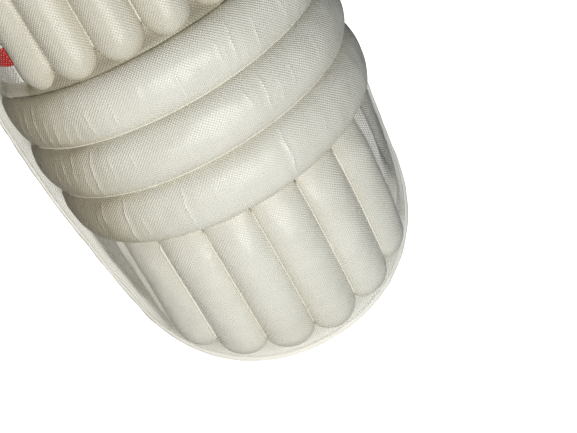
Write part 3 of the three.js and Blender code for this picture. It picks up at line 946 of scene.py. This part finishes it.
# The edge's binding: a tape folded round the edge and sewn down, with two fine ridges on its outer side.
BINDING_PROFILE = [
    (0.02, 0.0),
    (0.3, 0.0),
    (0.62, 0.06),
    (0.88, 0.2),
    (1.0, 0.42),
    (0.98, 0.62),
    (0.88, 0.8),
    (0.76, 0.93),
    (0.64, 0.98),
    (0.52, 0.93),
    (0.46, 0.86),
    (0.36, 0.93),
    (0.24, 1.0),
    (0.1, 0.98),
    (-0.02, 0.86),
    (-0.04, 0.5),
]
BINDING_STEPS = 240
BINDING_PROUD = 0.6
BINDING_RIDGES = (10, 11)
TAPE_BUMP = 0.18
TAPE_BUMP_SIZE = 22
TAPE_STITCH_RISE = 0.12
TAPE_STITCH_LENGTH = 3.4
TAPE_THREAD_STEP = 1.6
TAPE_SOIL = 0.05
TAPE_GROOVE_PAINTED_SHADE = 0.5
TAPE_GROOVES = (0, 1, 9, 10)


def unit(vectors):
    return vectors / np.linalg.norm(vectors, axis=-1, keepdims=True)


def binding_mesh():
    across, along = grid_place(*border_parameters(BINDING_STEPS))
    zero = np.zeros(len(across))
    outer = surface(across, along, facing_out(across, along, zero))
    inner = surface(across, along, rim_relief(across, along, zero) - EDGE_WALL)
    path = np.roll(outer, -1, axis=0) - np.roll(outer, 1, axis=0)
    for _ in range(2):
        path = path + np.roll(path, -1, axis=0) + np.roll(path, 1, axis=0)
    thick = outer - inner
    away = unit(np.cross(unit(path), thick))
    tall = np.linalg.norm(thick, axis=1) + BINDING_RISE * BINDING_PROUD
    travelled = lengths_along(outer)
    rings = []
    cloth = []
    for number, (depth, height) in enumerate(BINDING_PROFILE):
        bumps = TAPE_BUMP * waves(31, travelled, np.full(len(travelled), number * 2.0), TAPE_BUMP_SIZE)
        if number in BINDING_RIDGES:
            bumps += TAPE_STITCH_RISE * np.sin(travelled * 2 * np.pi / TAPE_STITCH_LENGTH)
        out = height * tall + bumps * (0.2 < height)
        rings.append(inner + away * (TOUCH_GAP + depth * BINDING_DEPTH) + unit(thick) * out[:, None])
        cloth.append(np.stack([travelled, np.full(len(travelled), number * TAPE_THREAD_STEP), zero], -1))
    points = np.stack(rings, 1)
    size = len(BINDING_PROFILE)
    index = np.arange(len(across) * size).reshape(len(across), size)
    right, up = np.roll(index, -1, axis=1), np.roll(index, -1, axis=0)
    faces = np.stack([index, right, np.roll(up, -1, axis=1), up], -1).reshape(-1, 4).tolist()
    # Painted shade in the groove between the tape's ridges and along its foot.
    shade = [TAPE_GROOVE_PAINTED_SHADE if number in TAPE_GROOVES else TAPE_SOIL for number in range(size)]
    cloth = np.stack(cloth, 1).reshape(-1, 3)
    return make_piece("binding_tape", points.reshape(-1, 3), faces, cloth, np.tile(shade, len(across)))


pieces["binding_tape"] = binding_mesh()

# Sewn seams between the rolls: a thin raised cord of folded cloth in each valley.
WELT_PROFILE = [(-1.0, 0.0), (-0.75, 0.6), (0.0, 1.0), (0.75, 0.6), (1.0, 0.0)]
WELT_HALF_WIDTH = 0.65
WELT_RISE = 2.0
WELT_SINK = 0.5
WELT_TAPER_LENGTH = 8
WELT_TAPER_LEAST = 0.15
WELT_STITCH_SHARE = 0.04
WELT_STITCH_RATE = 1.9
WELT_STEP = 3.0
SHIN_WELT_STEP = 4.0
SHIN_WELT_MARGINS = (12, 10)
KNEE_WELT_REACH = 16
HAT_WELT_MARGINS = (1, 17)
HAT_WELT_LIFT = 0.6
HAT_KNEE_WELT_BACK = 0.4
HAT_KNEE_WELT_SHARE = 0.75


def knee_valley_at(across):
    """Height at which two knee rolls are sewn together, lower towards the rolls' ends."""
    reach = knee_roll_reach(KNEE_MIDDLE)
    rise = KNEE_ROLL_RISE * KNEE_ROLL_SHARES[0][1] * (1 - knee_fall(across, reach))
    height = np.minimum(KNEE_VALLEY, VALLEY_SHARE_MOST * rise)
    return height * (1 - smoothstep(np.abs(across), reach - KNEE_ROLL_END_ROUND, reach))


def welt_lines():
    """Across and along of each seam's line, in order, and the height of its valley."""
    lines = []
    before, after = HAT_WELT_MARGINS
    for i in range(1, HAT_CANE_COUNT):
        across = (i - HAT_CANE_COUNT / 2 + HAT_CANE_SHIFT) * HAT_CANE_WIDTH
        end = ARCH_START + ARCH_HEIGHT * arch_fullness(min(1, abs(across) / ARCH_GIRTH)) - after
        along = np.arange(HAT_START - hat_bow(across) + before, end, WELT_STEP)
        lines.append((across - lean_at(along), along, HAT_CANE_VALLEY + HAT_WELT_LIFT))
    for index in range(1, len(KNEE_ROLL_SHARES) + 1):
        start = knee_roll_start(index)
        reach = knee_roll_reach(start) - KNEE_ROLL_END_ROUND + KNEE_WELT_REACH
        across = np.arange(-reach, reach, WELT_STEP)
        along = np.full(len(across), start)
        valley = knee_valley_at(across)
        if index == len(KNEE_ROLL_SHARES):
            along -= hat_bow(across) + HAT_KNEE_WELT_BACK
            valley *= HAT_KNEE_WELT_SHARE
        lines.append((across, along, valley))
    before, after = SHIN_WELT_MARGINS
    for i in range(1, SHIN_CANE_COUNT):
        place = i - SHIN_CANE_COUNT / 2
        along = np.arange(shin_start(place) + before, KNEE_START - after, SHIN_WELT_STEP)
        lines.append((place * shin_cane_width(along), along, SHIN_CANE_VALLEY))
    return lines


def welt_mesh():
    points, faces, cloth = [], [], []
    offsets, heights = np.array(WELT_PROFILE).T
    for across, along, valley in welt_lines():
        way = unit(np.stack([np.gradient(across), np.gradient(along)], -1))
        travelled = lengths_along(np.stack([across, along], -1))
        taper = np.minimum(travelled, travelled[-1] - travelled) / WELT_TAPER_LENGTH
        taper = np.clip(taper, WELT_TAPER_LEAST, 1)
        rise = WELT_RISE * (1 + WELT_STITCH_SHARE * np.sin(travelled * WELT_STITCH_RATE))
        step = offsets * WELT_HALF_WIDTH * taper[:, None]
        out = ((SEAT_GAP + valley) * taper)[:, None] + heights * (rise * taper)[:, None] - WELT_SINK
        rings = surface(across[:, None] - way[:, 1:] * step, along[:, None] + way[:, :1] * step, out)
        threads = np.broadcast_arrays(travelled[:, None], offsets * 2, np.zeros(1))
        faces += tube_faces(*step.shape, start=sum(len(part) for part in points))
        points.append(rings.reshape(-1, 3))
        cloth.append(np.stack(threads, -1).reshape(-1, 3))
    points = np.concatenate(points)
    return make_piece("seam_welts", points, faces, np.concatenate(cloth), np.full(len(points), 0.1))


pieces["seam_welts"] = welt_mesh()

# The cloth tab: woven, striped across the pad, with a folded hem, lying on the wing.
TAB_STEP = 1.0
TAB_HIDDEN = 5.0
TAB_LIFT = 0.8
TAB_LIP_RISE = 1.5
TAB_LIP_PLACE = 121.0
TAB_LIP_REACH = 18.0
TAB_BUMPS = (0.35, 30)
TAB_HEM = [(0.35, 2.2, 1.4), (-0.25, 4.6, 0.8)]
TAB_EDGE_RISE = 0.2
TAB_EDGE_DARKENING = 0.3


def tab_mesh():
    start = SHIN_CANE_COUNT / 2 * SHIN_CANE_WIDTH + TAB_CANE_MARGIN - TAB_HIDDEN
    low = KNEE_START - TAB_KNEE_MARGIN - TAB_LENGTH
    u, v = np.meshgrid(np.arange(0, TAB_WIDTH + 0.1, TAB_STEP), np.arange(0, TAB_LENGTH + 0.1, TAB_STEP))
    edge = np.minimum(np.minimum(u, TAB_WIDTH - u), np.minimum(v, TAB_LENGTH - v))
    over_lip = smoothstep(TAB_LIP_REACH - np.abs(start + u - TAB_LIP_PLACE), 0, TAB_LIP_REACH)
    rise, size = TAB_BUMPS
    lift = TAB_LIFT + TAB_LIP_RISE * over_lip + rise * waves(71, u, v, size)
    lift += sum(part * hump(edge, *form) for part, *form in TAB_HEM)
    lift += TAB_EDGE_RISE * (1 - smoothstep(edge, 0, 3))
    top = surface(start + u, low + v, lift + TAB_THICKNESS)
    bottom = surface(start + u, low + v, lift)
    points = np.concatenate([top.reshape(-1, 3), bottom.reshape(-1, 3)])
    cloth = np.stack([u, TAB_LENGTH - v, edge], -1).reshape(-1, 3)
    # The tab is a little darker near its edges.
    shade = TAB_EDGE_DARKENING * (1 - smoothstep(edge, 0, 5)).ravel()
    return make_piece("tab_cloth", points, wall_faces(*u.shape), np.tile(cloth, (2, 1)), np.tile(shade, 2))


pieces["tab_cloth"] = tab_mesh()

# Straps: woven bands that cross the open back and turn up inside both wings.
STRAP_COLUMNS = 20
STRAP_WING_POINTS = 12
STRAP_BEND_SHARES = (0.25, 0.5, 0.75)
STRAP_FLOOR_POINTS = 14
STRAP_FLOOR_LIFT = 0.15
STRAP_BOW = 0.5
STRAP_WING_GAP = 1.6
STRAP_RIB = 0.12
STRAP_SELVEDGE_START = 0.93
STRAP_SELVEDGE_FALL = 0.35


def wing_inside(y, z):
    """Inner face of the tab-side wing at a height, as its distance from the pad's middle plane."""
    found = []
    for r in range(0, row_count, 3):
        line = face_inner[r, column_count // 2 :]
        line = line[line[:, 2] < 70][::-1]
        if len(line) > 4:
            found.append([np.interp(z, line[:, 2], line[:, axis]) for axis in (1, 0)])
    places, distances = np.array(found).T
    return float(np.interp(y, places, distances))


def strap_path(y, floor):
    """Places across and up of the strap's lower face, from one wing to the other."""
    heights = np.linspace(STRAP_REACH, STRAP_FOOT, STRAP_WING_POINTS)
    path = [(wing_inside(y, floor + height) - STRAP_WING_GAP, floor + height) for height in heights]
    foot = path[-1][0]
    for share in STRAP_BEND_SHARES:
        angle = share * math.pi / 2
        path.append((foot - STRAP_BEND * (1 - math.cos(angle)), floor + STRAP_FOOT * (1 - math.sin(angle))))
    path.append((foot - STRAP_BEND, floor + STRAP_FLOOR_LIFT))
    for x in np.linspace(foot - STRAP_FLOOR_POINTS, 0, STRAP_FLOOR_POINTS):
        path.append((x, floor + STRAP_FLOOR_LIFT + STRAP_BOW * math.sin(math.pi * abs(x) / foot)))
    right = np.array(path)
    return np.concatenate([right, right[::-1][1:] * [-1, 1]])


def strap_mesh(name, share):
    centre = float(np.interp(share * SHIN_LENGTH, LINE_ALONG, LINE_Y))
    floor = -SHIFT[2]
    rings = []
    cloth = []
    for v in np.linspace(-1, 1, STRAP_COLUMNS):
        y = centre + v * STRAP_WIDTH / 2
        line = strap_path(y, floor)
        way = unit(np.gradient(line, axis=0))
        inward = np.stack([way[:, 1], -way[:, 0]], -1)
        travelled = lengths_along(line)
        selvedge = max(0, abs(v) - STRAP_SELVEDGE_START) / (1 - STRAP_SELVEDGE_START)
        thickness = STRAP_THICKNESS + STRAP_RIB * math.sin(v * 40) - STRAP_SELVEDGE_FALL * selvedge
        for offset in (0.0, thickness):
            moved = line + inward * offset
            rings.append(np.stack([moved[:, 0], np.full(len(line), y), np.maximum(moved[:, 1], floor)], -1))
            cloth.append(np.stack([travelled, np.full(len(line), v * STRAP_WIDTH / 2), 0 * travelled], -1))
    order = list(range(0, 2 * STRAP_COLUMNS, 2)) + list(range(2 * STRAP_COLUMNS - 1, 0, -2))
    points = np.stack([rings[i] for i in order], 1).reshape(-1, 3)
    cloth = np.stack([cloth[i] for i in order], 1).reshape(-1, 3)
    faces = tube_faces(len(line), len(order))
    return make_piece(name, points, faces, cloth, np.full(len(points), 0.1))


for node, share in STRAP_SHARES.items():
    pieces[f"{node}_band"] = strap_mesh(f"{node}_band", share)


class Nodes:
    """Short forms for building a material's node tree."""

    def __init__(self, name):
        self.material = bpy.data.materials.new(name)
        self.material.use_nodes = True
        self.tree = self.material.node_tree
        self.shader = self.tree.nodes["Principled BSDF"]

    def add(self, kind, inputs=(), **settings):
        node = self.tree.nodes.new("ShaderNode" + kind)
        for key, value in settings.items():
            setattr(node, key, value)
        self.connect(node, dict(inputs))
        return node

    def connect(self, node, inputs):
        for socket, value in inputs.items():
            if isinstance(value, bpy.types.NodeSocket):
                self.tree.links.new(value, node.inputs[socket])
            else:
                node.inputs[socket].default_value = value

    def finish(self, inputs):
        self.connect(self.shader, inputs)

    def math(self, operation, first, second=0.0, clamp=False):
        node = self.add("Math", {0: first, 1: second}, operation=operation, use_clamp=clamp)
        return node.outputs[0]

    def attribute(self, name, output):
        return self.add("Attribute", attribute_name=name).outputs[output]

    def mix(self, share, first, second, blend="MIX"):
        node = self.add("Mix", {0: share, 6: first, 7: second}, data_type="RGBA", blend_type=blend)
        return node.outputs[2]

    def noise(self, vector, scale, detail=3.0):
        node = self.add("TexNoise", {"Vector": vector, "Scale": scale, "Detail": detail})
        return node.outputs[0]

    def bump(self, height, strength, distance, before=None):
        inputs = {"Height": height, "Strength": strength, "Distance": distance}
        if before is not None:
            inputs["Normal"] = before
        return self.add("Bump", inputs).outputs[0]


# Colours are linear. Painted shade, a little soil and the weave pits' painted shade multiply a cloth's
# colour.
# A pale white replaces it: as wear on crease lines, as painted light on rims and as painted glints on the
# weave's knots.
WARM_SHADE_AND_SOIL = (0.68, 0.615, 0.49)
WORN_AND_PAINTED_LIGHT = (0.93, 0.925, 0.87)
PIT_SHADE = (0.66, 0.66, 0.63)
DEEP_SHADE = (0.60, 0.61, 0.61)
DEEP_FROM = 1.2
KNOT_PAINTED_GLINT = 0.9
TAB_STRIPE = (13.0, 26.5, (0.74, 0.006, 0.008))


def multiplied(n, share, colour, shade):
    return n.mix(share, colour, n.mix(1.0, colour, (*shade, 1), "MULTIPLY"))


def weave_height(n, cloth, place, pitch, broad):
    """A basket weave on the cloth's coordinates, drawn a little unevenly, as a height from 0 to 1."""
    drift = n.add("TexNoise", {"Vector": place, "Scale": 45.0, "Detail": 1.0}).outputs["Color"]
    drift = n.add("VectorMath", {0: drift, 1: (0.5, 0.5, 0.5)}, operation="SUBTRACT").outputs[0]
    drift = n.add("VectorMath", {0: drift, 1: (1.6, 1.6, 0)}, operation="MULTIPLY").outputs[0]
    uneven_cloth = n.add("VectorMath", {0: cloth, 1: drift}, operation="ADD").outputs[0]
    split = n.add("SeparateXYZ", {0: uneven_cloth})
    threads = [n.math("SINE", n.math("MULTIPLY", split.outputs[i], 2 * math.pi / pitch)) for i in (0, 1)]
    share = n.math("ADD", 0.75, n.math("MULTIPLY", broad, 0.5))
    return n.math("MULTIPLY", n.math("MAXIMUM", n.math("MULTIPLY", *threads), 0.0), share)


def crease_line(n):
    """The fine bright line on a crease's ridge."""
    crease = n.attribute("crease", "Vector")
    crease = n.add("SeparateXYZ", {0: crease})
    ridge = n.add(
        "MapRange",
        {0: n.math("ABSOLUTE", crease.outputs[0]), 1: 0.1, 2: 0.75, 3: 1.0, 4: 0.0},
        interpolation_type="SMOOTHSTEP",
    ).outputs[0]
    return n.math("MULTIPLY", ridge, crease.outputs[1])


def striped(n, colour, cloth, stripe):
    first, last, stripe_colour = stripe
    across = n.add("SeparateXYZ", {0: cloth}).outputs[1]
    share = n.math("MULTIPLY", n.math("GREATER_THAN", across, first), n.math("LESS_THAN", across, last))
    return n.mix(share, colour, (*stripe_colour, 1))


def cloth_material(name, colour, pitch, weave_depth, roughness, sheen, contrast=0.6, stripe=None):
    n = Nodes(name)
    cloth = n.attribute("cloth", "Vector")
    shade = n.attribute("shade", "Fac")
    painted_light = n.attribute("painted_light", "Fac")
    place = n.add("TexCoord").outputs["Object"]
    broad = n.noise(place, 14.0)
    fine = n.noise(place, 160.0, 4.0)
    weave = weave_height(n, cloth, place, pitch, broad)
    ridge = crease_line(n)

    tinted = (*colour, 1)
    if stripe:
        tinted = striped(n, tinted, cloth, stripe)
    tone = n.math("MULTIPLY", n.math("SUBTRACT", broad, 0.4), 0.55, clamp=True)
    # Random tone, with the shade attribute's painted shade and soil, darkens the colour towards a warm
    # brown.
    darkening = n.math("ADD", tone, n.math("MULTIPLY", shade, 0.6), clamp=True)
    tinted = multiplied(n, darkening, tinted, WARM_SHADE_AND_SOIL)
    pits = n.math("MULTIPLY", n.math("SUBTRACT", 0.6, weave), contrast, clamp=True)
    tinted = multiplied(n, pits, tinted, PIT_SHADE)
    # Painted glints: the weave's raised knots are drawn toward the pale white.
    painted_glints = n.math("MULTIPLY", n.math("SUBTRACT", weave, 0.35), KNOT_PAINTED_GLINT, clamp=True)
    tinted = n.mix(painted_glints, tinted, (*WORN_AND_PAINTED_LIGHT, 1))
    tinted = multiplied(n, n.math("SUBTRACT", shade, DEEP_FROM, clamp=True), tinted, DEEP_SHADE)
    tinted = n.mix(n.math("MULTIPLY", ridge, 0.75, clamp=True), tinted, (*WORN_AND_PAINTED_LIGHT, 1))
    # Painted light on the rims and on a lip beside the hat.
    tinted = n.mix(painted_light, tinted, (*WORN_AND_PAINTED_LIGHT, 1))
    rough = n.math("ADD", roughness - 0.06, n.math("MULTIPLY", fine, 0.14))
    ridged = n.bump(ridge, 0.7, 0.0004, n.bump(fine, 0.12, 0.0004))
    bumped = n.bump(weave, 0.85, weave_depth, ridged)
    n.finish({"Base Color": tinted, "Roughness": rough, "Normal": bumped, "Sheen Weight": sheen})
    return n.material


facing_material = cloth_material("coated_weave", (0.765, 0.760, 0.690), 2.3, 0.0005, 0.28, 0.04)
welt_material = cloth_material("seam_cord", (0.785, 0.775, 0.715), 1.6, 0.0001, 0.5, 0.1, contrast=0.3)
tape_material = cloth_material("edge_tape", (0.88, 0.87, 0.825), 1.5, 0.0001, 0.5, 0.1, contrast=0.3)
band_material = cloth_material("strap_webbing", (0.80, 0.80, 0.77), 2.0, 0.0003, 0.85, 0.3)
tab_material = cloth_material("striped_tab", (0.86, 0.86, 0.82), 3.2, 0.0009, 0.3, 0.05, 1.2, TAB_STRIPE)

# What each piece is: the node that it replaces, its material and a slot name that nothing uses. Rolls and
# straps have their node's name with an ending.
LOOKS = {
    "facing_cloth": ("shell", facing_material, "facing"),
    "binding_tape": ("edge_binding", tape_material, "binding"),
    "tab_cloth": ("side_tab", tab_material, "tab"),
    "seam_welts": (None, welt_material, "facing"),
}
for name, piece in pieces.items():
    if name.endswith("_band"):
        node, material, slot = name.removesuffix("_band"), band_material, "webbing"
    else:
        node, material, slot = LOOKS.get(name, (name.removesuffix("_cloth"), facing_material, "facing"))
    piece.data.materials.clear()
    piece.data.materials.append(material)
    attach(piece, "root")
    if node:
        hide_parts(node)

# Floor, light and camera.
FLOOR_REACH = 6
floor_corners = [(x * FLOOR_REACH, y * FLOOR_REACH, 0) for x, y in ((-1, -1), (1, -1), (1, 1), (-1, 1))]
floor_mesh = bpy.data.meshes.new("floor")
floor_mesh.from_pydata(floor_corners, [], [(0, 1, 2, 3)])
floor = add_object("floor", floor_mesh)
floor.location.z = -0.0006
floor_nodes = Nodes("pale_floor")
floor_nodes.finish({"Base Color": (0.9, 0.9, 0.9, 1), "Roughness": 0.9})
floor_nodes.finish({"Emission Color": (1, 1, 1, 1), "Emission Strength": 1.0})
floor_mesh.materials.append(floor_nodes.material)
floor.visible_diffuse = False
floor.visible_glossy = False

world = bpy.data.worlds.new("studio")
world.use_nodes = True
world.node_tree.nodes["Background"].inputs["Color"].default_value = (0.90, 0.97, 1.0, 1)
world.node_tree.nodes["Background"].inputs["Strength"].default_value = 0.09
bpy.context.scene.world = world


def add_light(name, place, target, size, power, colour):
    data = bpy.data.lights.new(name, "AREA")
    data.shape = "RECTANGLE"
    data.size = size
    data.size_y = size
    data.energy = power
    data.color = colour
    x, y, z = np.array(target, float) - np.array(place, float)
    light = add_object(name, data)
    light.location = place
    light.rotation_euler = (math.atan2(math.hypot(x, y), -z), 0, math.atan2(y, x) - math.pi / 2)
    light.visible_camera = False


LIT_PLACE = (0, 0.1, 0.1)
add_light("key", (0.14, 0.22, 1.5), LIT_PLACE, 1.0, 23.2, (1.0, 1.0, 0.99))
add_light("warm_side", (1.2, -0.1, 0.6), LIT_PLACE, 0.8, 2.4, (1.0, 0.84, 0.60))
bpy.context.scene.view_settings.view_transform = "Standard"

camera_data = bpy.data.cameras.new("camera")
camera_data.sensor_width = 36
camera_data.sensor_fit = "HORIZONTAL"
camera_data.lens = 83.25
camera_data.clip_start = 0.01
camera = add_object("camera", camera_data)
camera.location = (0.0857, -0.2607, 0.9245)
camera.rotation_euler = [math.radians(angle) for angle in (-25.856, -21.073, 153.685)]
bpy.context.scene.camera = camera
